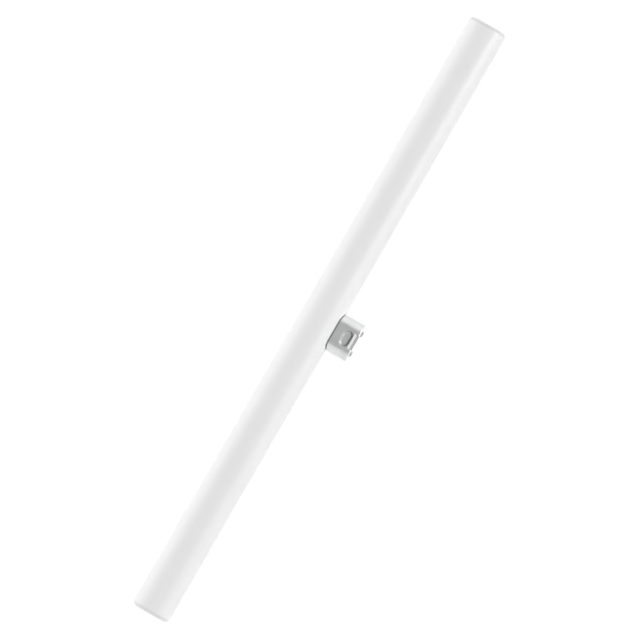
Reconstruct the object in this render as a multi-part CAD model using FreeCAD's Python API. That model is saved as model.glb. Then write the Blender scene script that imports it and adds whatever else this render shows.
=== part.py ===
import FreeCAD, Part
import math
import os

# Tubular lamp with one cap in the middle of its side, in millimetres.
# It is drawn with the tube along X, the middle of the tube at the origin and the cap standing
# up along Z, and then laid on its side, as it comes to rest on a floor.

# The opal tube
tube_length = 500.0
tube_diameter = 30.0
tube_end_radius = 4.0
# It is round, so a turn of its own about its axis, in degrees, shows nowhere
tube_own_turn = 5.5

# The cap: a flat-sided shell with round ends
cap_length = 30.0
cap_width = 14.0
cap_height = 16.9
cap_off_centre = 2.2
shell_wall = 0.5
rim_radius = 1.0
rim_ledge = 0.4
seam_gap = 0.4

# How much of the flat side's length the dimple and the notch take
press_share = 0.7875

# The dimple pressed into each broad side: round ends, sloping walls and a rounded mouth
dimple_height = 6.9
dimple_below_notch = 0.65
dimple_slope = 0.92
dimple_depth = 1.6
dimple_mouth_radius = 0.7
dimple_floor_chamfer = 0.35

# The lead-in notch pressed into each broad side, open at the rim
notch_height = 3.8
notch_ramp = 1.7
notch_side_slope = 0.5
notch_depth = 1.2

# The contacts: a pad with a hollow shank
contact_from_end = 6.7
pad_length = 4.5
pad_depth = 6.4
pad_thickness = 1.4
pad_corner = 1.2
pad_chamfer = 0.3
shank_diameter = 2.6
shank_length = 6.0
eyelet_bore = 1.3
eyelet_mouth = 2.2
eyelet_mouth_depth = 0.5
solder_below_face = 0.05
wire_diameter = 0.9

# The moulded insulator
face_below_rim = 0.2
boss_above_rim = 0.3
boss_margin = 0.5
seam_recess_height = 1.5
seam_recess_depth = 1.8

# Fits
shell_fit = 0.06
mouth_fit = 0.15
shank_fit = 0.04

# How far a cutting form runs past what it cuts
overrun = 0.4
# How near to a plane an edge lies that is picked by it
pick_tolerance = 1e-4

sides = {"left": -1, "right": 1}
tube_radius = tube_diameter / 2
rim_level = tube_radius + cap_height
face_level = rim_level - face_below_rim
boss_level = rim_level + boss_above_rim
pad_level = boss_level + pad_thickness
flat_reach = (cap_length - cap_width) / 2
press_half = press_share * flat_reach
contact_reach = cap_length / 2 - contact_from_end
mouth_inset = notch_depth + shell_wall + rim_ledge
rest_tilt = (
    math.asin((tube_radius - rim_radius) / math.hypot(cap_width / 2 - rim_radius, rim_level - rim_radius))
    - math.atan2(cap_width / 2 - rim_radius, rim_level - rim_radius)
)


def up(level):
    return FreeCAD.Vector(0, 0, level)


def stadium_prism(inset, low, high):
    # The cap's outline, flat-sided with round ends, moved inward by inset
    radius = cap_width / 2 - inset
    corners = [
        FreeCAD.Vector(-flat_reach, -radius, low),
        FreeCAD.Vector(flat_reach, -radius, low),
        FreeCAD.Vector(flat_reach, radius, low),
        FreeCAD.Vector(-flat_reach, radius, low),
    ]
    right_tip = FreeCAD.Vector(flat_reach + radius, 0, low)
    left_tip = FreeCAD.Vector(-flat_reach - radius, 0, low)
    outline = [
        Part.makeLine(corners[0], corners[1]),
        Part.Arc(corners[1], right_tip, corners[2]).toShape(),
        Part.makeLine(corners[2], corners[3]),
        Part.Arc(corners[3], left_tip, corners[0]).toShape(),
    ]
    return Part.Face(Part.Wire(outline)).extrude(up(high - low))


def prism(points, along):
    # A straight prism on a closed outline of points
    return Part.Face(Part.makePolygon(points + points[:1])).extrude(along)


def wall_growth(slope, depth, skin):
    # How far a sloping wall's foot moves outward, when the wall is looked at a skin behind its face
    return skin * math.tan(math.atan2(depth, slope) / 2)


def dimple(skin):
    # What the press leaves free on the -Y side: two tapering round ends and the stretch between.
    # A skin greater than nothing gives the form that lies that far behind the sheet's face.
    face = -cap_width / 2 + skin
    middle = rim_level - notch_height - dimple_below_notch - dimple_height / 2
    reach = press_half - dimple_height / 2
    mouth = dimple_height / 2 + wall_growth(dimple_slope, dimple_depth, skin)
    floor = mouth - dimple_slope
    inward = FreeCAD.Vector(0, 1, 0)
    form = prism([
        FreeCAD.Vector(-reach, face, middle - mouth),
        FreeCAD.Vector(-reach, face, middle + mouth),
        FreeCAD.Vector(-reach, face + dimple_depth, middle + floor),
        FreeCAD.Vector(-reach, face + dimple_depth, middle - floor),
    ], FreeCAD.Vector(2 * reach, 0, 0))
    for x in (-reach, reach):
        form = form.fuse(Part.makeCone(mouth, floor, dimple_depth, FreeCAD.Vector(x, face, middle), inward))
    return form.removeSplitter()


def notch(skin):
    # The lead-in that runs out through the rim: a ramp at its foot and sloping sides
    face = -cap_width / 2 + skin
    floor = face + notch_depth
    mouth_half = press_half + wall_growth(notch_side_slope, notch_depth, skin)
    floor_half = mouth_half - notch_side_slope
    foot = rim_level - notch_height - wall_growth(notch_ramp, notch_depth, skin)
    top = rim_level + overrun
    sides_form = prism([
        FreeCAD.Vector(-mouth_half, face, foot),
        FreeCAD.Vector(mouth_half, face, foot),
        FreeCAD.Vector(floor_half, floor, foot),
        FreeCAD.Vector(-floor_half, floor, foot),
    ], up(top - foot))
    ramp_form = prism([
        FreeCAD.Vector(-mouth_half, face, foot),
        FreeCAD.Vector(-mouth_half, face, top),
        FreeCAD.Vector(-mouth_half, floor, top),
        FreeCAD.Vector(-mouth_half, floor, foot + notch_ramp),
    ], FreeCAD.Vector(2 * mouth_half, 0, 0))
    return sides_form.common(ramp_form)


def in_plane(solid, y, room):
    # The edges that lie in the plane at y and within a box
    found = []
    for edge in solid.Edges:
        box = edge.BoundBox
        flat = abs(box.YMin - y) < pick_tolerance and abs(box.YMax - y) < pick_tolerance
        if flat and box.XMin > room.XMin and box.XMax < room.XMax and box.ZMin > room.ZMin:
            found.append(edge)
    return found


def finished_dimple():
    # The mouth is flared into the sheet's face by rounding the corner under a lid
    form = dimple(0)
    box = form.BoundBox
    sheet_face = -cap_width / 2
    margin = 2 * dimple_mouth_radius
    lid = Part.makeBox(
        box.XLength + 2 * margin,
        overrun,
        box.ZLength + 2 * margin,
        FreeCAD.Vector(box.XMin - margin, sheet_face - overrun, box.ZMin - margin),
    )
    form = form.makeChamfer(dimple_floor_chamfer, in_plane(form, box.YMax, lid.BoundBox))
    form = form.fuse(lid)
    return form.makeFillet(dimple_mouth_radius, in_plane(form, sheet_face, lid.BoundBox))


def both_sides(form):
    other = form.mirror(FreeCAD.Vector(0, 0, 0), FreeCAD.Vector(0, 1, 0))
    return form.fuse(other)


def top_edges(solid, level):
    found = []
    for edge in solid.Edges:
        box = edge.BoundBox
        if abs(box.ZMin - level) < pick_tolerance and abs(box.ZMax - level) < pick_tolerance:
            found.append(edge)
    return found


def shell_outside():
    block = stadium_prism(0, 0, rim_level)
    block = block.makeFillet(rim_radius, top_edges(block, rim_level))
    block = block.cut(both_sides(notch(0)))
    return block.cut(both_sides(finished_dimple()))


def shell_inside():
    # The chamfer keeps the wall's thickness where the rim turns in
    turn = (rim_radius - shell_wall) * (2 - math.sqrt(2))
    block = stadium_prism(shell_wall, -overrun, rim_level - shell_wall)
    block = block.makeChamfer(turn, top_edges(block, rim_level - shell_wall))
    block = block.cut(both_sides(notch(shell_wall)))
    return block.cut(both_sides(dimple(shell_wall)))


def saddle(gap):
    # The tube's round body, grown by a gap, as a seat for what stands on it
    length = 2 * cap_length
    start = FreeCAD.Vector(-length / 2, 0, 0)
    return Part.makeCylinder(tube_radius + gap, length, start, FreeCAD.Vector(1, 0, 0))


def cap_shell():
    mouth = stadium_prism(mouth_inset, 0, rim_level + overrun)
    shell = shell_outside().cut(shell_inside())
    shell = shell.cut(mouth)
    return shell.cut(saddle(seam_gap))


def pad_prism(margin, low, high):
    # A block with rounded upright corners, centred on the contact
    half_length = pad_length / 2 + margin
    half_depth = pad_depth / 2 + margin
    block = Part.makeBox(
        2 * half_length, 2 * half_depth, high - low, FreeCAD.Vector(-half_length, -half_depth, low))
    upright = []
    for edge in block.Edges:
        if edge.BoundBox.ZLength > pick_tolerance:
            upright.append(edge)
    return block.makeFillet(pad_corner + margin, upright)


def at_contact(shape, side):
    moved = shape.copy()
    moved.translate(FreeCAD.Vector(side * contact_reach, 0, 0))
    return moved


def round_bar(diameter, low, high):
    return Part.makeCylinder(diameter / 2, high - low, up(low))


def eyelet():
    # The bore up the shank and its funnel in the pad's face
    bore = round_bar(eyelet_bore, boss_level - shank_length - overrun, pad_level + overrun)
    funnel = Part.makeCone(
        eyelet_bore / 2, eyelet_mouth / 2, eyelet_mouth_depth, up(pad_level - eyelet_mouth_depth))
    return bore.fuse(funnel)


def contact(side):
    pad = pad_prism(0, boss_level, pad_level)
    pad = pad.makeChamfer(pad_chamfer, top_edges(pad, pad_level))
    shank = round_bar(shank_diameter, boss_level - shank_length, boss_level)
    return at_contact(pad.fuse(shank).cut(eyelet()).removeSplitter(), side)


def solder(side):
    # It fills the funnel and the top of the bore, down to the end of the wire
    top = pad_level - solder_below_face
    fill = eyelet().common(round_bar(eyelet_mouth, boss_level, top))
    return at_contact(fill, side)


def lead_wire(side):
    wire = round_bar(wire_diameter, 0, boss_level)
    return at_contact(wire, side).cut(saddle(0))


def relief(low, high, depth):
    # A plain pocket in the moulding's -Y side that clears what is pressed into the shell
    margin = shell_wall + shell_fit
    face = -cap_width / 2
    return Part.makeBox(
        2 * (press_half + margin),
        depth + margin,
        high - low + 2 * margin,
        FreeCAD.Vector(-press_half - margin, face, low - margin),
    )


def insulator_body():
    shoulder = rim_level - shell_wall
    body = stadium_prism(shell_wall + shell_fit, 0, shoulder)
    body = body.makeChamfer(rim_radius - shell_wall, top_edges(body, shoulder))
    notch_low = rim_level - notch_height
    dimple_high = notch_low - dimple_below_notch
    notch_relief = relief(notch_low, rim_level, notch_depth)
    dimple_relief = relief(dimple_high - dimple_height, dimple_high, dimple_depth)
    return body.cut(both_sides(notch_relief)).cut(both_sides(dimple_relief))


def insulator_face():
    # The plateau in the shell's mouth, with a raised boss under each contact
    inset = mouth_inset + mouth_fit
    shoulder = rim_level - shell_wall
    plateau = stadium_prism(inset, shoulder - overrun, face_level)
    room = stadium_prism(inset, shoulder - overrun, boss_level)
    for side in sides.values():
        boss = pad_prism(boss_margin, face_level - overrun, boss_level)
        plateau = plateau.fuse(at_contact(boss, side).common(room))
    return plateau


def seam_recess():
    # The foot of the insulator steps back, so that the seam over the tube stays a dark line
    outer = stadium_prism(0, 0, rim_level)
    inner = stadium_prism(shell_wall + seam_recess_depth, -overrun, rim_level + overrun)
    return outer.cut(inner).common(saddle(seam_recess_height))


def cap_insulator():
    body = insulator_body().fuse(insulator_face())
    body = body.cut(saddle(0)).cut(seam_recess())
    shank_hole = round_bar(shank_diameter + 2 * shank_fit, 0, boss_level + overrun)
    for side in sides.values():
        body = body.cut(at_contact(shank_hole, side))
    return body.removeSplitter()


def diffuser_tube():
    start = FreeCAD.Vector(-tube_length / 2, 0, 0)
    tube = Part.makeCylinder(tube_radius, tube_length, start, FreeCAD.Vector(1, 0, 0))
    ends = []
    for edge in tube.Edges:
        if edge.BoundBox.XLength < pick_tolerance:
            ends.append(edge)
    return tube.makeFillet(tube_end_radius, ends)


def on_tube(shape):
    moved = shape.copy()
    moved.translate(FreeCAD.Vector(-cap_off_centre, 0, 0))
    return moved


pieces = {
    "diffuser_tube": diffuser_tube(),
    "cap_shell": on_tube(cap_shell()),
    "cap_insulator": on_tube(cap_insulator()),
}
for name, side in sides.items():
    pieces["contact_" + name] = on_tube(contact(side))
    pieces["solder_" + name] = on_tube(solder(side))
    pieces["lead_wire_" + name] = on_tube(lead_wire(side))


def turn_about_tube(shape, degrees):
    turned = shape.copy()
    turned.rotate(FreeCAD.Vector(0, 0, 0), FreeCAD.Vector(1, 0, 0), degrees)
    return turned


# The lamp lies down with the cap to -Y, and rolls on until the cap's rim is on the floor
laid_pieces = {}
for name, shape in pieces.items():
    roll = tube_own_turn if name == "diffuser_tube" else math.degrees(rest_tilt)
    laid_pieces[name] = turn_about_tube(shape, 90 + roll)

whole = Part.makeCompound(list(laid_pieces.values())).optimalBoundingBox(False, False)
middle_to_origin = FreeCAD.Vector(0, -(whole.YMin + whole.YMax) / 2, tube_radius)

for name, shape in laid_pieces.items():
    shape.translate(middle_to_origin)
    shape.exportStep("parts/" + name + ".step")
    print(name, len(shape.Solids), shape.isValid(), round(shape.Volume, 3))

print("dip of the cap in degrees", round(math.degrees(rest_tilt), 3))
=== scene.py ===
import math
import bmesh
import bpy
from mathutils import Matrix, Vector, noise


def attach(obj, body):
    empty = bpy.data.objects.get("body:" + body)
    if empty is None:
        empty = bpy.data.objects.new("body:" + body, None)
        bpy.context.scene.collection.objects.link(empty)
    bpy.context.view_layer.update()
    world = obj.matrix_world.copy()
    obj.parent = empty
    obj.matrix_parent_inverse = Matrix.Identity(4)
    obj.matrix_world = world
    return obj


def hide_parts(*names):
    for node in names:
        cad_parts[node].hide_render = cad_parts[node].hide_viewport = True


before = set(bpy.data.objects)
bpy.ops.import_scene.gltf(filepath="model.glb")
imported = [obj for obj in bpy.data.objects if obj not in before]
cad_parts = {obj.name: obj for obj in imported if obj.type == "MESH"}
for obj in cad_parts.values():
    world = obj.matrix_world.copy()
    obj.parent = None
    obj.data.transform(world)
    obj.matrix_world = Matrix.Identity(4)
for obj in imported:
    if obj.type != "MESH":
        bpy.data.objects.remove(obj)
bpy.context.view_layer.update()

mm = 0.001

# How the lamp lies: tube along X, cap towards -Y and dipping until its rim is on the floor
dip = math.radians(15.4198)
tubeMiddle = Vector((0, 9.0808, 15)) * mm
capMiddle = tubeMiddle - Vector((2.2, 0, 0)) * mm
alongTube = Vector((1, 0, 0))
outOfTube = Vector((0, -math.cos(dip), -math.sin(dip)))   # the way the cap points
broadSide = Vector((0, -math.sin(dip), math.cos(dip)))    # square to the cap's upper broad side


def capPoint(u, w, h):
    # millimetres along the tube, towards the upper broad side, and out from the tube's axis
    return capMiddle + (alongTube * u + broadSide * w + outOfTube * h) * mm


def smoothRamp(t, r):
    # 0 before -r, t after r, and a soft bend between
    if t <= -r:
        return 0.0
    if t >= r:
        return t
    return (t + r) ** 2 / (4 * r)


def spread(start, stop, step):
    # even places about a step apart, from start up to but without stop
    count = max(1, round((stop - start) / step))
    return [start + (stop - start) * i / count for i in range(count)]


def newNode(tree, kind, **settings):
    made = tree.nodes.new(kind)
    for key, value in settings.items():
        setattr(made, key, value)
    return made


def join(tree, source, target):
    tree.links.new(source, target)


def newGroup(name, inputs, outputs):
    group = bpy.data.node_groups.new(name, "ShaderNodeTree")
    for label, kind, value in inputs:
        made = group.interface.new_socket(name=label, in_out="INPUT", socket_type=kind)
        if value is not None:
            made.default_value = value
    for label, kind in outputs:
        group.interface.new_socket(name=label, in_out="OUTPUT", socket_type=kind)
    return group, group.nodes.new("NodeGroupInput"), group.nodes.new("NodeGroupOutput")


def mathNode(tree, operation, first, second=None, clamp=False):
    made = newNode(tree, "ShaderNodeMath", operation=operation, use_clamp=clamp)
    for socket, value in zip(made.inputs, (first, second)):
        if value is None:
            continue
        if isinstance(value, (int, float)):
            socket.default_value = value
        else:
            join(tree, value, socket)
    return made.outputs[0]


def rangeNode(tree, value, fromLow, fromHigh, toLow, toHigh, smooth=False):
    made = newNode(tree, "ShaderNodeMapRange", clamp=True)
    if smooth:
        made.interpolation_type = "SMOOTHSTEP"
    join(tree, value, made.inputs["Value"])
    made.inputs["From Min"].default_value = fromLow
    made.inputs["From Max"].default_value = fromHigh
    made.inputs["To Min"].default_value = toLow
    made.inputs["To Max"].default_value = toHigh
    return made.outputs["Result"]


def mixColour(tree, factor, first, second):
    made = newNode(tree, "ShaderNodeMix", data_type="RGBA")
    # the factor and the two colour sockets
    sockets = made.inputs[0], made.inputs[6], made.inputs[7]
    for socket, value in zip(sockets, (factor, first, second)):
        if isinstance(value, (int, float, tuple)):
            socket.default_value = value
        else:
            join(tree, value, socket)
    return made.outputs[2]


def grey(tone):
    return tone, tone, tone, 1


def makeGrain():
    # fine grain with broad, faint patches; sizes in metres
    group, given, out = newGroup("fine grain", [
        ("Vector", "NodeSocketVector", None),
        ("Grain size", "NodeSocketFloat", 0.0004),
        ("Patch size", "NodeSocketFloat", 0.01),
    ], [("Height", "NodeSocketFloat"), ("Patches", "NodeSocketFloat")])
    fine = newNode(group, "ShaderNodeTexNoise")
    fine.inputs["Detail"].default_value = 4
    fine.inputs["Roughness"].default_value = 0.6
    join(group, given.outputs["Vector"], fine.inputs["Vector"])
    join(group, mathNode(group, "DIVIDE", 1.0, given.outputs["Grain size"]), fine.inputs["Scale"])
    broad = newNode(group, "ShaderNodeTexNoise")
    broad.inputs["Detail"].default_value = 2
    join(group, given.outputs["Vector"], broad.inputs["Vector"])
    join(group, mathNode(group, "DIVIDE", 1.0, given.outputs["Patch size"]), broad.inputs["Scale"])
    join(group, fine.outputs["Fac"], out.inputs["Height"])
    join(group, rangeNode(group, broad.outputs["Fac"], 0.3, 0.7, 0.0, 1.0), out.inputs["Patches"])
    return group


def makeDrawLines():
    # long faint lines along the tube's direction, as drawing, extruding or rolling leaves them
    group, given, out = newGroup("draw lines", [
        ("Vector", "NodeSocketVector", None),
        ("Line width", "NodeSocketFloat", 0.0006),
        ("Line length", "NodeSocketFloat", 0.3),
    ], [("Height", "NodeSocketFloat")])
    split = newNode(group, "ShaderNodeSeparateXYZ")
    join(group, given.outputs["Vector"], split.inputs[0])
    packed = newNode(group, "ShaderNodeCombineXYZ")
    for axis, size in (("X", "Line length"), ("Y", "Line width"), ("Z", "Line width")):
        scaled = mathNode(group, "DIVIDE", split.outputs[axis], given.outputs[size])
        join(group, scaled, packed.inputs[axis])
    lines = newNode(group, "ShaderNodeTexNoise")
    lines.inputs["Scale"].default_value = 1
    lines.inputs["Detail"].default_value = 3
    lines.inputs["Roughness"].default_value = 0.55
    join(group, packed.outputs[0], lines.inputs["Vector"])
    join(group, lines.outputs["Fac"], out.inputs["Height"])
    return group


def makeEdgeWear():
    # where edges have rubbed bright: the mesh's own edge mark, broken up by noise
    group, given, out = newGroup("edge wear", [
        ("Vector", "NodeSocketVector", None),
        ("Edge", "NodeSocketFloat", 0.0),
        ("Amount", "NodeSocketFloat", 0.5),
    ], [("Mask", "NodeSocketFloat")])
    spots = newNode(group, "ShaderNodeTexNoise")
    spots.inputs["Scale"].default_value = 900
    spots.inputs["Detail"].default_value = 5
    spots.inputs["Roughness"].default_value = 0.7
    join(group, given.outputs["Vector"], spots.inputs["Vector"])
    broken = rangeNode(group, spots.outputs["Fac"], 0.35, 0.65, 0.25, 1.0)
    worn = mathNode(group, "MULTIPLY", given.outputs["Edge"], broken)
    worn = mathNode(group, "MULTIPLY", worn, given.outputs["Amount"], clamp=True)
    join(group, worn, out.inputs["Mask"])
    return group


def makeScuffs():
    # sparse hairline scuffs in all directions
    group, given, out = newGroup("hairline scuffs", [
        ("Vector", "NodeSocketVector", None),
        ("Spacing", "NodeSocketFloat", 0.004),
    ], [("Mask", "NodeSocketFloat")])
    bend = newNode(group, "ShaderNodeTexNoise")
    bend.inputs["Scale"].default_value = 120
    join(group, given.outputs["Vector"], bend.inputs["Vector"])
    shift = newNode(group, "ShaderNodeVectorMath", operation="SCALE")
    join(group, bend.outputs["Color"], shift.inputs[0])
    shift.inputs["Scale"].default_value = 0.004
    moved = newNode(group, "ShaderNodeVectorMath", operation="ADD")
    join(group, given.outputs["Vector"], moved.inputs[0])
    join(group, shift.outputs[0], moved.inputs[1])
    cells = newNode(group, "ShaderNodeTexVoronoi", feature="DISTANCE_TO_EDGE")
    join(group, moved.outputs[0], cells.inputs["Vector"])
    join(group, mathNode(group, "DIVIDE", 1.0, given.outputs["Spacing"]), cells.inputs["Scale"])
    hair = rangeNode(group, cells.outputs["Distance"], 0.0, 0.012, 1.0, 0.0)
    gaps = newNode(group, "ShaderNodeTexNoise")
    gaps.inputs["Scale"].default_value = 260
    join(group, given.outputs["Vector"], gaps.inputs["Vector"])
    some = rangeNode(group, gaps.outputs["Fac"], 0.5, 0.62, 0.0, 1.0)
    join(group, mathNode(group, "MULTIPLY", hair, some), out.inputs["Mask"])
    return group


grain = makeGrain()
drawLines = makeDrawLines()
edgeWear = makeEdgeWear()
scuffs = makeScuffs()
print("shared effects made")


def useGroup(tree, group, vector, **values):
    made = newNode(tree, "ShaderNodeGroup", node_tree=group)
    join(tree, vector, made.inputs["Vector"])
    for label, value in values.items():
        socket = made.inputs[label.replace("_", " ")]
        if isinstance(value, (int, float)):
            socket.default_value = value
        else:
            join(tree, value, socket)
    return made


def startMaterial(name, metallic):
    made = bpy.data.materials.new(name)
    made.use_nodes = True
    tree = made.node_tree
    shader = tree.nodes["Principled BSDF"]
    shader.inputs["Metallic"].default_value = metallic
    shader.inputs["IOR"].default_value = 1.5
    place = newNode(tree, "ShaderNodeTexCoord").outputs["Object"]
    return made, tree, shader, place


def roughBy(tree, height, low, high):
    # roughness from low to high over the span that the grain's height covers
    return rangeNode(tree, height, 0.3, 0.7, low, high)


def addBump(tree, shader, height, strength, depth, under=None):
    bump = newNode(tree, "ShaderNodeBump")
    bump.inputs["Strength"].default_value = strength
    bump.inputs["Distance"].default_value = depth
    join(tree, height, bump.inputs["Height"])
    if under is not None:
        join(tree, under, bump.inputs["Normal"])
    join(tree, bump.outputs[0], shader.inputs["Normal"])
    return bump.outputs[0]


# in metres: from the tube's middle, and from the straight middle line of the cap's foot
# painted shade near the tube's ends: where the greyer ring starts, is full, fades and is gone
endShadeRing = {"from": 0.2466, "full": 0.2482, "until": 0.2488, "gone": 0.2498}
# painted shade round the cap's foot: where the grey line lies and how ragged its edge is
capFootShade = {"straightHalf": 0.008, "inner": 0.00795, "outer": 0.00815, "ragged": 0.0002}


def opalMaterial():
    made, tree, shader, place = startMaterial("satin opal", 0)
    lines = useGroup(tree, drawLines, place, Line_width=0.0009, Line_length=0.4)
    skin = useGroup(tree, grain, place, Grain_size=0.0007, Patch_size=0.05)
    tone = mixColour(tree, skin.outputs["Patches"], grey(0.895), (0.886, 0.886, 0.887, 1))
    # painted shade: a greyer ring just inside each end of the tube
    split = newNode(tree, "ShaderNodeSeparateXYZ")
    join(tree, place, split.inputs[0])
    fromMiddle = mathNode(tree, "ABSOLUTE", split.outputs["X"])
    closed = rangeNode(tree, fromMiddle, endShadeRing["from"], endShadeRing["full"], 0.0, 1.0, smooth=True)
    faded = rangeNode(tree, fromMiddle, endShadeRing["until"], endShadeRing["gone"], 1.0, 0.0, smooth=True)
    closed = mathNode(tree, "MULTIPLY", closed, faded)
    tone = mixColour(tree, closed, tone, (0.78, 0.78, 0.782, 1))
    # painted shade: a thin grey line on the tube round the cap's foot
    fromCap = newNode(tree, "ShaderNodeVectorMath", operation="SUBTRACT")
    join(tree, place, fromCap.inputs[0])
    fromCap.inputs[1].default_value = capMiddle

    def along(direction):
        part = newNode(tree, "ShaderNodeVectorMath", operation="DOT_PRODUCT")
        join(tree, fromCap.outputs[0], part.inputs[0])
        part.inputs[1].default_value = direction
        return part.outputs["Value"]

    past = mathNode(tree, "ABSOLUTE", along(alongTube))
    past = mathNode(tree, "SUBTRACT", past, capFootShade["straightHalf"])
    past = mathNode(tree, "POWER", mathNode(tree, "MAXIMUM", past, 0.0), 2)
    across = mathNode(tree, "POWER", mathNode(tree, "ABSOLUTE", along(broadSide)), 2)
    reach = mathNode(tree, "SQRT", mathNode(tree, "ADD", past, across))
    ragged = mathNode(tree, "MULTIPLY", skin.outputs["Height"], capFootShade["ragged"])
    reach = mathNode(tree, "ADD", reach, ragged)
    line = rangeNode(tree, reach, capFootShade["inner"], capFootShade["outer"], 1.0, 0.0)
    line = mathNode(tree, "MULTIPLY", line, mathNode(tree, "GREATER_THAN", along(outOfTube), 0.0))
    tone = mixColour(tree, line, tone, grey(0.42))
    join(tree, tone, shader.inputs["Base Color"])
    join(tree, roughBy(tree, skin.outputs["Height"], 0.36, 0.44), shader.inputs["Roughness"])
    soft = addBump(tree, shader, lines.outputs["Height"], 0.25, 0.00004)
    addBump(tree, shader, skin.outputs["Height"], 0.2, 0.00002, soft)
    return made


def capMaterial():
    made, tree, shader, place = startMaterial("satin plated sheet", 1)
    rolled = useGroup(tree, drawLines, place, Line_width=0.00016, Line_length=0.006)
    skin = useGroup(tree, grain, place, Grain_size=0.00025, Patch_size=0.006)
    hair = useGroup(tree, scuffs, place, Spacing=0.005)
    mark = newNode(tree, "ShaderNodeAttribute", attribute_name="edge")
    worn = useGroup(tree, edgeWear, place, Edge=mark.outputs["Fac"], Amount=0.55)
    tone = mixColour(tree, skin.outputs["Patches"], (0.82, 0.825, 0.825, 1), (0.74, 0.75, 0.755, 1))
    tone = mixColour(tree, worn.outputs["Mask"], tone, (0.81, 0.8, 0.785, 1))
    # painted shade: the steep walls of the presses are coloured dark grey, and made a little rougher
    pressWallShade = newNode(tree, "ShaderNodeAttribute", attribute_name="pressWallShade").outputs["Fac"]
    tone = mixColour(tree, pressWallShade, tone, (0.48, 0.48, 0.49, 1))
    join(tree, tone, shader.inputs["Base Color"])
    rough = roughBy(tree, skin.outputs["Height"], 0.36, 0.44)
    rough = mathNode(tree, "ADD", rough, mathNode(tree, "MULTIPLY", pressWallShade, 0.1))
    rough = mathNode(tree, "SUBTRACT", rough, mathNode(tree, "MULTIPLY", worn.outputs["Mask"], 0.1))
    scratched = mathNode(tree, "MULTIPLY", hair.outputs["Mask"], 0.12)
    rough = mathNode(tree, "ADD", rough, scratched, clamp=True)
    join(tree, rough, shader.inputs["Roughness"])
    soft = addBump(tree, shader, rolled.outputs["Height"], 0.5, 0.00002)
    soft = addBump(tree, shader, hair.outputs["Mask"], 0.5, 0.000008, soft)
    addBump(tree, shader, skin.outputs["Height"], 0.4, 0.000015, soft)
    return made


def insulatorMaterial():
    made, tree, shader, place = startMaterial("white ceramic", 0)
    skin = useGroup(tree, grain, place, Grain_size=0.0003, Patch_size=0.005)
    speck = newNode(tree, "ShaderNodeTexVoronoi")
    speck.inputs["Scale"].default_value = 1300
    join(tree, place, speck.inputs["Vector"])
    specks = rangeNode(tree, speck.outputs["Distance"], 0.06, 0.14, 1.0, 0.0)
    tone = mixColour(tree, skin.outputs["Patches"], (0.84, 0.835, 0.81, 1), (0.8, 0.795, 0.77, 1))
    tone = mixColour(tree, mathNode(tree, "MULTIPLY", specks, 0.4), tone, (0.55, 0.53, 0.5, 1))
    join(tree, tone, shader.inputs["Base Color"])
    join(tree, roughBy(tree, skin.outputs["Height"], 0.55, 0.7), shader.inputs["Roughness"])
    soft = addBump(tree, shader, skin.outputs["Height"], 0.5, 0.00003)
    addBump(tree, shader, specks, 0.3, 0.00002, soft)
    return made


def contactMaterial():
    made, tree, shader, place = startMaterial("plated contact", 1)
    skin = useGroup(tree, grain, place, Grain_size=0.0002, Patch_size=0.003)
    hair = useGroup(tree, scuffs, place, Spacing=0.0022)
    mark = newNode(tree, "ShaderNodeAttribute", attribute_name="edge")
    worn = useGroup(tree, edgeWear, place, Edge=mark.outputs["Fac"], Amount=0.8)
    tone = mixColour(tree, skin.outputs["Patches"], (0.69, 0.685, 0.67, 1), (0.62, 0.615, 0.6, 1))
    tone = mixColour(tree, worn.outputs["Mask"], tone, (0.74, 0.72, 0.67, 1))
    join(tree, tone, shader.inputs["Base Color"])
    rough = roughBy(tree, skin.outputs["Height"], 0.3, 0.4)
    scratched = mathNode(tree, "MULTIPLY", hair.outputs["Mask"], 0.15)
    rough = mathNode(tree, "ADD", rough, scratched, clamp=True)
    join(tree, rough, shader.inputs["Roughness"])
    soft = addBump(tree, shader, hair.outputs["Mask"], 0.4, 0.000008)
    addBump(tree, shader, skin.outputs["Height"], 0.3, 0.00001, soft)
    return made


def solderMaterial():
    made, tree, shader, place = startMaterial("dull tin", 1)
    skin = useGroup(tree, grain, place, Grain_size=0.0002, Patch_size=0.0009)
    tone = mixColour(tree, skin.outputs["Patches"], (0.66, 0.66, 0.67, 1), (0.5, 0.5, 0.51, 1))
    join(tree, tone, shader.inputs["Base Color"])
    rough = rangeNode(tree, skin.outputs["Patches"], 0.0, 1.0, 0.28, 0.5)
    join(tree, rough, shader.inputs["Roughness"])
    addBump(tree, shader, skin.outputs["Height"], 0.4, 0.00003)
    return made


def copperMaterial():
    made, tree, shader, place = startMaterial("drawn copper", 1)
    skin = useGroup(tree, grain, place, Grain_size=0.00015, Patch_size=0.002)
    tone = mixColour(tree, skin.outputs["Patches"], (0.72, 0.45, 0.3, 1), (0.6, 0.34, 0.21, 1))
    join(tree, tone, shader.inputs["Base Color"])
    join(tree, roughBy(tree, skin.outputs["Height"], 0.3, 0.45), shader.inputs["Roughness"])
    addBump(tree, shader, skin.outputs["Height"], 0.3, 0.00001)
    return made


opal = opalMaterial()
plate = capMaterial()
ceramic = insulatorMaterial()
contactPlate = contactMaterial()
tin = solderMaterial()
copper = copperMaterial()
print("materials made")


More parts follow.
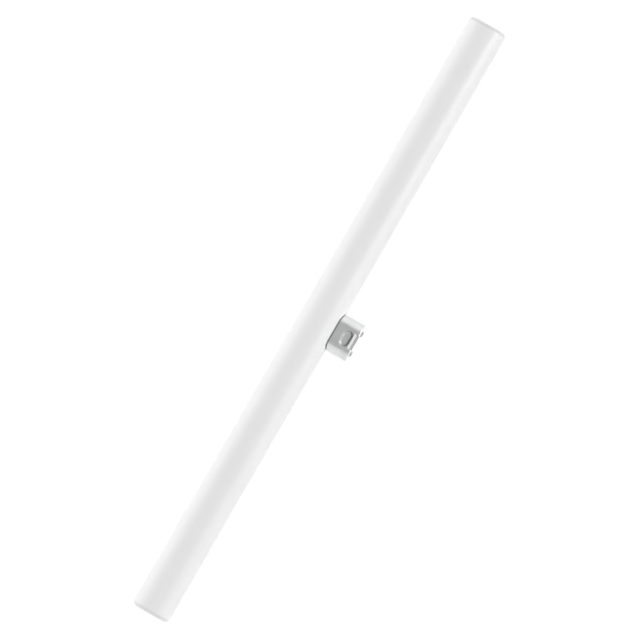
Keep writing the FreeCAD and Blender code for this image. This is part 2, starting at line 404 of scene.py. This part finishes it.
def meshPiece(name, rows, material, closed=True, flatEnds=(), sharpAngle=35, edgeMark=None):
    # rows of points, each a ring or one point; neighbours are joined, and flatEnds says which
    # rings are filled
    bm = bmesh.new()
    marks = []
    rings = []
    for number, row in enumerate(rows):
        rings.append([bm.verts.new(point) for point in row])
        marks += [edgeMark(number, i) if edgeMark else 0.0 for i in range(len(row))]
    for lower, upper in zip(rings, rings[1:]):
        if len(lower) == 1 or len(upper) == 1:
            single, ring = (lower[0], upper) if len(lower) == 1 else (upper[0], lower)
            for i in range(len(ring)):
                bm.faces.new((single, ring[i], ring[(i + 1) % len(ring)]))
            continue
        for i in range(len(lower)):
            j = (i + 1) % len(lower)
            bm.faces.new((lower[i], lower[j], upper[j], upper[i]))
    if closed:
        for i in range(len(rings[0])):
            j = (i + 1) % len(rings[0])
            bm.faces.new((rings[-1][i], rings[-1][j], rings[0][j], rings[0][i]))
    for number in flatEnds:
        bm.faces.new(rings[number])
    bmesh.ops.recalc_face_normals(bm, faces=bm.faces)
    for face in bm.faces:
        face.smooth = True
    for edge in bm.edges:
        if len(edge.link_faces) == 2 and edge.calc_face_angle(0) > math.radians(sharpAngle):
            edge.smooth = False
    mesh = bpy.data.meshes.new(name)
    bm.to_mesh(mesh)
    bm.free()
    if edgeMark:
        layer = mesh.attributes.new("edge", "FLOAT", "POINT")
        layer.data.foreach_set("value", marks)
    mesh.materials.append(material)
    made = bpy.data.objects.new(name, mesh)
    bpy.context.scene.collection.objects.link(made)
    return made


tube = {
    "half": 250.0, "radius": 15.0, "endRound": 4.0, "around": 288, "arc": 18,
    "faceRings": (0.0, 3.0, 6.5, 9.5), "firstRing": -230, "ringStep": 20,
}


def buildTube():
    profile = [(-tube["half"], r) for r in tube["faceRings"]]
    inner = tube["radius"] - tube["endRound"]
    for i in range(tube["arc"] + 1):
        turn = math.pi / 2 * i / tube["arc"]
        profile.append((
            -tube["half"] + tube["endRound"] * (1 - math.cos(turn)),
            inner + tube["endRound"] * math.sin(turn),
        ))
    profile += [(x, tube["radius"]) for x in range(tube["firstRing"], 1, tube["ringStep"])]
    profile += [(-x, r) for x, r in reversed(profile[:-1])]
    rows = []
    for x, r in profile:
        if r == 0:
            rows.append([tubeMiddle + alongTube * x * mm])
            continue
        ring = []
        for i in range(tube["around"]):
            turn = 2 * math.pi * i / tube["around"]
            offset = Vector((0, math.sin(turn), -math.cos(turn))) * r
            ring.append(tubeMiddle + (alongTube * x + offset) * mm)
        rows.append(ring)
    return meshPiece("opalTube", rows, opal, closed=False)


tubePiece = buildTube()
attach(tubePiece, "root")
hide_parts("diffuser_tube")
print("tube made")


cap = {
    "flatReach": 8.0, "halfWidth": 7.0, "rim": 31.9, "rimRound": 1.0, "wall": 0.5,
    "mouthInset": 2.1, "seamRadius": 15.4, "pressHalf": 6.3, "footRoll": 0.3, "straightFrom": 19.6,
    "faceInsets": (1.3, 1.75), "pressLap": 0.04, "mouthEdge": 0.08,
}
# how close the shell's points stand: closest where the presses have their walls
spacing = {
    "wallFrom": 2.4, "wallTo": 7.1, "wallStep": 0.13, "flatStep": 0.3, "endSteps": 44,
    "pressTop": 30.0, "pressStep": 0.135, "rimStep": 0.3, "rimSteps": 8, "rollSteps": 5, "footSteps": 9,
    "inside": (31.2, 30.8, 30.2, 29.7, 29.2, 28.7, 28.2, 27.9, 27.5, 27.1, 26.7, 26.3, 25.5, 24.6,
               23.7, 22.8, 21.9, 21.4, 21.0, 20.6, 20.2, 19.8),
}
dimple = {
    "radius": 3.45, "reach": 2.85, "middle": 24.0, "wallRun": 0.92, "depth": 1.6,
    "lip": 0.55, "foot": 0.45,
}
notch = {"foot": 28.1, "ramp": 1.7, "side": 0.5, "depth": 1.2, "lip": 0.12}


def dimpleDepth(x, h):
    out = math.hypot(max(abs(x) - dimple["reach"], 0), h - dimple["middle"]) - dimple["radius"]
    steep = dimple["depth"] / dimple["wallRun"]
    down = smoothRamp(-out, dimple["lip"]) - smoothRamp(-out - dimple["wallRun"], dimple["foot"])
    return steep * down


def pressDepth(x, h):
    # how far the broad side is pressed in at a place x along it and h above the tube's axis
    sides = (cap["pressHalf"] - abs(x)) / notch["side"]
    ramp = (h - notch["foot"]) / notch["ramp"]
    lip = notch["lip"]
    cut = min(
        smoothRamp(sides, lip / notch["side"]) - smoothRamp(sides - 1, lip / notch["side"]),
        smoothRamp(ramp, lip / notch["ramp"]) - smoothRamp(ramp - 1, lip / notch["ramp"]),
    )
    return max(dimpleDepth(x, h), notch["depth"] * cut)


def capOutline():
    # stations round the cap: place along it, 1 at a round end, and the way out
    reach, near, far = cap["flatReach"], spacing["wallFrom"], spacing["wallTo"]
    wide, close = spacing["flatStep"], spacing["wallStep"]
    places = spread(-reach, -far, wide) + spread(-far, -near, close) + spread(-near, near, wide)
    places += spread(near, far, close) + spread(far, reach, wide)
    arc = [math.pi * i / spacing["endSteps"] for i in range(spacing["endSteps"])]
    stations = [(x, 0.0, Vector((0, 1))) for x in places]
    stations += [(reach, 1.0, Vector((math.sin(a), math.cos(a)))) for a in arc]
    stations += [(-x, 0.0, Vector((0, -1))) for x in places]
    stations += [(-reach, 1.0, Vector((-math.sin(a), -math.cos(a)))) for a in arc]
    return stations


outline = capOutline()


def outlinePoint(station, inset):
    # a place on the outline moved in by inset, as along and across the cap
    x, _, outward = station
    return x + outward.x * (cap["halfWidth"] - inset), outward.y * (cap["halfWidth"] - inset)


def shellRing(height, inset):
    ring = []
    for station in outline:
        u, w = outlinePoint(station, inset(station, height))
        ring.append((u, w, height))
    return ring


def buildShell():
    def pressed(station, height):
        return pressDepth(station[0], height) if station[1] == 0 else 0.0

    rows = []
    marks = []

    def add(ring, wear):
        rows.append([capPoint(*point) for point in ring])
        marks.append(wear)

    def overTube(station, inset, rise, share):
        # follows the tube's curve at the seam, and levels out towards the straight part
        u, w = outlinePoint(station, inset)
        seam = math.sqrt(cap["seamRadius"] ** 2 - w * w) + rise
        return u, w, seam + (low - seam) * share

    # outer skin, from the seam's rolled edge up to the straight part
    low = cap["straightFrom"]
    roll = cap["footRoll"]
    for i in range(spacing["rollSteps"] + 1):
        turn = math.pi / 2 * i / spacing["rollSteps"]
        inset, rise = roll * (1 - math.sin(turn)), roll * (1 - math.cos(turn))
        add([overTube(station, inset, rise, 0) for station in outline], 0.0)
    for i in range(1, spacing["footSteps"]):
        add([overTube(station, 0, roll, i / spacing["footSteps"]) for station in outline], 0.0)
    below = len(rows)
    heights = spread(low, spacing["pressTop"], spacing["pressStep"])
    heights += spread(spacing["pressTop"], cap["rim"] - cap["rimRound"], spacing["rimStep"])
    for height in heights:
        add(shellRing(height, pressed), 0.0)
    # the rim, rounded in and then flat to the mouth; the last value of each ring is its wear
    for i in range(spacing["rimSteps"] + 1):
        turn = math.pi / 2 * i / spacing["rimSteps"]
        height = cap["rim"] - cap["rimRound"] * (1 - math.sin(turn))
        rounded = cap["rimRound"] * (1 - math.cos(turn))
        wear = 0.5 if i < spacing["rimSteps"] - 1 else 0.2
        add(shellRing(height, lambda s, h, r=rounded: max(r, pressed(s, h))), wear)
    edge = cap["mouthInset"]
    for inset in (*cap["faceInsets"], edge - cap["mouthEdge"]):
        lapped = shellRing(cap["rim"], lambda s, h, r=inset: max(r, pressed(s, h) + cap["pressLap"]))
        add(lapped, 0.15)
    add(shellRing(cap["rim"] - cap["mouthEdge"], lambda s, h: edge), 0.8)
    add(shellRing(cap["rim"] - cap["wall"], lambda s, h: edge), 0.3)
    # inner skin back down to the seam, one sheet's thickness behind
    wall = cap["wall"]
    add(shellRing(cap["rim"] - wall, lambda s, h: max(cap["rimRound"], pressed(s, h) + wall)), 0.0)
    for height in (*spacing["inside"], low):
        add(shellRing(height, lambda s, h: pressed(s, h) + wall), 0.0)
    for share in (0.6, 0.3, 0.0):
        add([overTube(station, wall, 0, share) for station in outline], 0.0)

    def mark(row, i):
        base = marks[row]
        station = outline[i]
        if station[1] == 0 and below <= row < below + len(heights):
            # where a press bends the sheet it wears too, most at its lip
            x, h = station[0], heights[row - below]
            steps = ((0.15, 0), (-0.15, 0), (0, 0.15), (0, -0.15))
            around = sum(pressDepth(x + dx, h + dh) for dx, dh in steps)
            bend = abs(around - 4 * pressDepth(x, h))
            base = max(base, min(1.0, bend * 6) * (1.0 if around < 2.4 else 0.2))
        return base

    made = meshPiece("capShell", rows, plate, closed=True, sharpAngle=40, edgeMark=mark)
    # painted shade on the presses' steep walls: 1 there, 0 where the sheet is flat
    pressWallShade = []
    step = 0.05
    for row in range(len(rows)):
        for station in outline:
            steep = 0.0
            if station[1] == 0 and below <= row < below + len(heights):
                x, h = station[0], heights[row - below]
                along = pressDepth(x + step, h) - pressDepth(x - step, h)
                up = pressDepth(x, h + step) - pressDepth(x, h - step)
                slope = math.hypot(along, up) / (2 * step)
                steep = min(1.0, max(0.0, (slope - 0.2) / 0.45))
            pressWallShade.append(steep)
    made.data.attributes.new("pressWallShade", "FLOAT", "POINT").data.foreach_set("value", pressWallShade)
    return made


shellPiece = buildShell()
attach(shellPiece, "root")
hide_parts("cap_shell")
print("cap shell made")


pad = {
    "halfLength": 2.25, "halfDepth": 3.2, "corner": 1.2, "foot": 32.2, "top": 33.6, "round": 0.3,
    "chamfer": 0.1, "roundSteps": 6, "bore": 0.65, "mouth": 1.1, "mouthDepth": 0.5,
    "shank": 1.3, "shankFoot": 26.2,
}
contactPlaces = {"left": -8.3, "right": 8.3}
# skirt: inset from the cap's outline and rise over the tube; bosses: margin round a pad and height
insulator = {
    "tubeRadius": 15.0, "footInset": 2.3, "skirt": ((2.3, 0.0), (2.3, 0.7), (2.1, 1.0), (0.6, 1.1)),
    "bodyInset": 0.6, "bodyTop": 19.0, "neckInset": 2.4, "neckFoot": 19.3, "neckTop": 31.1,
    "plateau": 2.25, "plateauFoot": 31.15, "face": 31.7, "faceInset": 4.2,
    "bosses": ((0.5, 31.5), (0.5, 32.0), (0.47, 32.1), (0.4, 32.17), (0.3, 32.2), (-0.5, 32.2),
               (-1.4, 32.2)),
}


def roundedRing(halfLength, halfDepth, corner, arcCount=11, sideCount=9):
    # a rounded rectangle as a ring of points, over its four corners and along its sides
    corners = []
    for side, (sx, sy) in enumerate(((1, 1), (-1, 1), (-1, -1), (1, -1))):
        for i in range(arcCount):
            turn = math.pi / 2 * (side + i / (arcCount - 1))
            corners.append((
                sx * (halfLength - corner) + corner * math.cos(turn),
                sy * (halfDepth - corner) + corner * math.sin(turn),
            ))
    ring = []
    for i, (x, y) in enumerate(corners):
        ring.append((x, y))
        if i % arcCount == arcCount - 1:
            nextX, nextY = corners[(i + 1) % len(corners)]
            ring += [(x + (nextX - x) * k / sideCount, y + (nextY - y) * k / sideCount)
                     for k in range(1, sideCount)]
    return ring


def buildInsulator():
    rows = []

    def seamRow(inset, rise, share=1.0):
        ring = []
        for station in outline[::2]:
            u, w = outlinePoint(station, inset)
            base = math.sqrt(insulator["tubeRadius"] ** 2 - (w * share) ** 2)
            ring.append(capPoint(u, w * share, base + rise))
        rows.append(ring)

    def levelRow(inset, height):
        rows.append([capPoint(*outlinePoint(station, inset), height) for station in outline[::2]])

    # the foot lies on the tube: it starts at its own middle line and widens to the skirt
    for share in (0.0, 0.4, 0.75):
        seamRow(insulator["footInset"], 0.0, share)
    for inset, rise in insulator["skirt"]:
        seamRow(inset, rise)
    levelRow(insulator["bodyInset"], insulator["bodyTop"])
    levelRow(insulator["neckInset"], insulator["neckFoot"])
    levelRow(insulator["neckInset"], insulator["neckTop"])
    levelRow(insulator["plateau"], insulator["plateauFoot"])
    for inset, drop in ((0.0, 0.15), (0.05, 0.04), (0.16, 0.0)):
        levelRow(insulator["plateau"] + inset, insulator["face"] - drop)
    levelRow(insulator["faceInset"], insulator["face"])
    body = meshPiece("insulatorPlug", rows, ceramic, closed=False, flatEnds=(-1,))
    bosses = []
    for side, middle in contactPlaces.items():
        bossRows = []
        for margin, height in insulator["bosses"]:
            ring = roundedRing(pad["halfLength"] + margin, pad["halfDepth"] + margin,
                               max(pad["corner"] + margin, 0.2))
            bossRows.append([capPoint(middle + x, y, height) for x, y in ring])
        boss = meshPiece("boss_" + side, bossRows, ceramic, closed=False, flatEnds=(0, -1))
        bosses.append(boss)
    return body, bosses


plug, bosses = buildInsulator()
# the bosses are moulded on the plug, so they are one mesh; the merge closes the foot's middle line
bm = bmesh.new()
for part in [plug] + bosses:
    bm.from_mesh(part.data)
bmesh.ops.remove_doubles(bm, verts=bm.verts, dist=0.0001 * mm)
bm.to_mesh(plug.data)
bm.free()
for part in bosses:
    bpy.data.objects.remove(part)
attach(plug, "root")
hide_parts("cap_insulator")
print("insulator made")


def circleLike(ring, radius):
    # the points of a ring pulled on to a circle, each keeping its own direction
    made = []
    for x, y in ring:
        reach = math.hypot(x, y)
        made.append((x / reach * radius, y / reach * radius))
    return made


def buildContact(side, middle):
    rows = []
    marks = []

    def add(ring, height, wear=0.0):
        rows.append([capPoint(middle + x, y, height) for x, y in ring])
        marks.append(wear)

    def drawnIn(inset):
        return roundedRing(pad["halfLength"] - inset, pad["halfDepth"] - inset, pad["corner"] - inset)

    outer = drawnIn(0.0)
    add(circleLike(outer, pad["shank"]), pad["shankFoot"])
    add(circleLike(outer, pad["shank"]), pad["foot"])
    add(drawnIn(pad["chamfer"]), pad["foot"], 0.3)
    add(outer, pad["foot"] + pad["chamfer"], 0.4)
    add(outer, pad["top"] - pad["round"], 0.3)
    for i in range(1, pad["roundSteps"] + 1):
        turn = math.pi / 2 * i / pad["roundSteps"]
        ring = drawnIn(pad["round"] * (1 - math.cos(turn)))
        wear = 1.0 if i < pad["roundSteps"] - 1 else 0.5
        add(ring, pad["top"] - pad["round"] * (1 - math.sin(turn)), wear)
    # flat in to the funnel's mouth, down the funnel and down the bore
    for share in (0.3, 0.6, 0.85):
        blend = [(x + (cx - x) * share, y + (cy - y) * share) for (x, y), (cx, cy)
                 in zip(ring, circleLike(ring, pad["mouth"] + 0.12))]
        add(blend, pad["top"], 0.1)
    add(circleLike(ring, pad["mouth"] + 0.08), pad["top"], 0.7)
    add(circleLike(ring, pad["mouth"] - 0.02), pad["top"] - 0.05, 0.9)
    add(circleLike(ring, pad["bore"]), pad["top"] - pad["mouthDepth"])
    add(circleLike(ring, pad["bore"]), pad["shankFoot"])
    return meshPiece("contactPad_" + side, rows, contactPlate, closed=True, sharpAngle=40,
                     edgeMark=lambda row, i: marks[row])


# below: radius and height of the rings under the meniscus, in the funnel and the bore
solder = {
    "top": 33.53, "radius": 1.02, "sag": 0.07, "ripple": 0.02, "rippleScale": 2.2, "around": 56,
    "rings": (0.12, 0.24, 0.36, 0.48, 0.6, 0.72, 0.84, 0.94, 1.0),
    "below": ((0.66, 33.1), (0.62, 33.0), (0.62, 32.25)), "foot": 32.22,
}


def buildSolder(side, middle):
    # a shallow meniscus that fills the funnel, with the small ripples of tin that has set
    turns = [2 * math.pi * i / solder["around"] for i in range(solder["around"])]
    scale = solder["rippleScale"]
    rows = [[capPoint(middle, 0, solder["top"])]]
    for reach in solder["rings"]:
        radius = solder["radius"] * reach
        level = solder["top"] - solder["sag"] * reach ** 3
        ring = []
        for turn in turns:
            x, y = radius * math.cos(turn), radius * math.sin(turn)
            ripple = solder["ripple"] * noise.noise(Vector((x * scale + middle, y * scale, 4.0)))
            ring.append(capPoint(middle + x, y, level + ripple * (1 - reach)))
        rows.append(ring)
    for radius, height in solder["below"]:
        rows.append([capPoint(middle + radius * math.cos(turn), radius * math.sin(turn), height)
                     for turn in turns])
    rows.append([capPoint(middle, 0, solder["foot"])])
    return meshPiece("solderFill_" + side, rows, tin, closed=False)


for side, middle in contactPlaces.items():
    padPiece = buildContact(side, middle)
    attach(padPiece, "root")
    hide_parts("contact_" + side)
    fillPiece = buildSolder(side, middle)
    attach(fillPiece, "root")
    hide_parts("solder_" + side)
    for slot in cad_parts["lead_wire_" + side].material_slots:
        slot.material = copper
print("contacts and solder made")


floorLook = {"size": 20, "below": 0.00002, "tone": 0.8, "shadowTone": 0.12, "glow": 0.92}


def buildFloor():
    bm = bmesh.new()
    bmesh.ops.create_grid(bm, x_segments=1, y_segments=1, size=floorLook["size"])
    mesh = bpy.data.meshes.new("studioFloor")
    bm.to_mesh(mesh)
    bm.free()
    made = bpy.data.objects.new("studioFloor", mesh)
    made.location = (0, 0, -floorLook["below"])
    bpy.context.scene.collection.objects.link(made)
    material = bpy.data.materials.new("pale floor")
    material.use_nodes = True
    tree = material.node_tree
    shader = tree.nodes["Principled BSDF"]
    shader.inputs["Base Color"].default_value = grey(floorLook["tone"])
    shader.inputs["Roughness"].default_value = 0.9
    shader.inputs["Specular IOR Level"].default_value = 0
    # seen directly or in a reflection, the floor is white with a faint shadow
    faint = newNode(tree, "ShaderNodeBsdfDiffuse")
    faint.inputs["Color"].default_value = grey(floorLook["shadowTone"])
    glow = newNode(tree, "ShaderNodeEmission")
    glow.inputs["Strength"].default_value = floorLook["glow"]
    seen = newNode(tree, "ShaderNodeAddShader")
    join(tree, faint.outputs[0], seen.inputs[0])
    join(tree, glow.outputs[0], seen.inputs[1])
    path = newNode(tree, "ShaderNodeLightPath")
    direct = mathNode(tree, "ADD", path.outputs["Is Camera Ray"], path.outputs["Is Glossy Ray"])
    direct = mathNode(tree, "ADD", direct, path.outputs["Is Transmission Ray"], clamp=True)
    mixed = newNode(tree, "ShaderNodeMixShader")
    join(tree, direct, mixed.inputs[0])
    join(tree, shader.outputs[0], mixed.inputs[1])
    join(tree, seen.outputs[0], mixed.inputs[2])
    # from underneath the camera looks through it
    clear = newNode(tree, "ShaderNodeBsdfTransparent")
    behind = newNode(tree, "ShaderNodeNewGeometry").outputs["Backfacing"]
    below = mathNode(tree, "MULTIPLY", behind, path.outputs["Is Camera Ray"])
    oneSided = newNode(tree, "ShaderNodeMixShader")
    join(tree, below, oneSided.inputs[0])
    join(tree, mixed.outputs[0], oneSided.inputs[1])
    join(tree, clear.outputs[0], oneSided.inputs[2])
    join(tree, oneSided.outputs[0], tree.nodes["Material Output"].inputs["Surface"])
    mesh.materials.append(material)


# tones of the room, and where each of its parts begins and ends
room = {
    "overhead": 0.04, "overLamp": 0.445, "rightEnd": 1.12, "leftEnd": 0.98, "horizon": 1.1,
    "endSpan": (0.05, 0.45), "backSpan": (0.15, 0.55), "horizonSpan": (0.1, 0.4),
    "patchGone": 32, "patchFull": 6,
}


def buildWorld():
    # a dim ceiling with a soft patch over the lamp, pale walls past its two ends and a white
    # horizon; the camera itself sees plain white
    world = bpy.data.worlds.new("studio")
    bpy.context.scene.world = world
    world.use_nodes = True
    tree = world.node_tree
    background = tree.nodes["Background"]
    place = newNode(tree, "ShaderNodeTexCoord").outputs["Generated"]
    split = newNode(tree, "ShaderNodeSeparateXYZ")
    join(tree, place, split.inputs[0])

    def towards(direction):
        made = newNode(tree, "ShaderNodeVectorMath", operation="DOT_PRODUCT")
        join(tree, place, made.inputs[0])
        made.inputs[1].default_value = direction
        return made.outputs["Value"]

    sideways = mathNode(tree, "ABSOLUTE", split.outputs["X"])
    ends = rangeNode(tree, sideways, *room["endSpan"], 0.0, 1.0, smooth=True)
    back = rangeNode(tree, towards(-outOfTube), *room["backSpan"], 1.0, 0.0, smooth=True)
    ends = mathNode(tree, "MULTIPLY", ends, back)
    endTone = rangeNode(tree, split.outputs["X"], -1.0, 1.0, room["leftEnd"], room["rightEnd"])
    gone, full = (math.cos(math.radians(room[key])) for key in ("patchGone", "patchFull"))
    patch = rangeNode(tree, towards(broadSide), gone, full, 0.0, 1.0, smooth=True)
    low = rangeNode(tree, split.outputs["Z"], *room["horizonSpan"], 1.0, 0.0, smooth=True)
    tone = mixColour(tree, ends, grey(room["overhead"]), endTone)
    tone = mixColour(tree, patch, tone, grey(room["overLamp"]))
    tone = mixColour(tree, low, tone, grey(room["horizon"]))
    seen = newNode(tree, "ShaderNodeLightPath").outputs["Is Camera Ray"]
    tone = mixColour(tree, seen, tone, grey(1))
    join(tree, tone, background.inputs["Color"])
    background.inputs["Strength"].default_value = 1.0


# metres and watts: place, the point aimed at, size and power; a lamp may be left out of the
# diffuse or the glossy light
lamps = {
    "nearStrip": ((0, -1.6, 0.45), (0, 0, 0.45), (3.0, 0.9), 4.3, {}),
    "farStrip": ((0, 1.6, 0.45), (0, 0, 0.45), (3.0, 0.9), 5.5, {}),
    "nearLow": ((0, -1.65, 0.1), (0, 0, 0.1), (3.0, 0.2), 5.0, {"glossy": False}),
    "farMid": ((0, 1.45, 0.8), (0, 0, 0.02), (3.0, 0.4), 10.0, {"glossy": False}),
    "farHigh": ((0, 1.0, 1.3), (0, 0, 0.02), (3.0, 0.6), 8.4, {"glossy": False}),
    "cornerCard": ((0.6, -1.2, 0.25), (0, 0, 0.02), (1.0, 0.4), 8.5, {"diffuse": False}),
}


def areaLight(name, place, target, size, power, diffuse=True, glossy=True):
    data = bpy.data.lights.new(name, "AREA")
    data.shape = "RECTANGLE"
    data.size, data.size_y = size
    data.energy = power
    made = bpy.data.objects.new(name, data)
    made.location = place
    away = (Vector(place) - Vector(target)).normalized()
    side = Vector((1, 0, 0)) if abs(away.x) < 0.9 else Vector((0, 1, 0))
    up = away.cross(side).normalized()
    side = up.cross(away).normalized()
    made.rotation_euler = Matrix((side, up, away)).transposed().to_euler()
    made.visible_camera = False
    made.visible_diffuse = diffuse
    made.visible_glossy = glossy
    bpy.context.scene.collection.objects.link(made)


buildFloor()
buildWorld()
for name, (place, target, size, power, kinds) in lamps.items():
    areaLight(name, place, target, size, power, **kinds)
print("floor and lights made")


# seen square to the cap's broad side, from far off, with the tube leaning as in the photograph
view = {
    "lens": 800, "sensor": 36, "lean": 30, "width": 471.2, "aimRight": 0.486, "aimDown": 0.449,
    "clipEnd": 60,
}


def buildCamera():
    data = bpy.data.cameras.new("camera")
    data.lens = view["lens"]
    data.sensor_width = view["sensor"]
    made = bpy.data.objects.new("camera", data)
    lean = math.radians(view["lean"])
    right = outOfTube * math.cos(lean) + alongTube * math.sin(lean)
    up = alongTube * math.cos(lean) - outOfTube * math.sin(lean)
    distance = view["width"] * mm * data.lens / data.sensor_width
    aim = tubeMiddle + (right * view["aimRight"] - up * view["aimDown"]) * mm
    turned = Matrix((right, up, broadSide)).transposed().to_4x4()
    made.matrix_world = Matrix.Translation(aim + broadSide * distance) @ turned
    data.clip_end = view["clipEnd"]
    bpy.context.scene.collection.objects.link(made)
    bpy.context.scene.camera = made


buildCamera()
scene = bpy.context.scene
scene.view_settings.view_transform = "Standard"
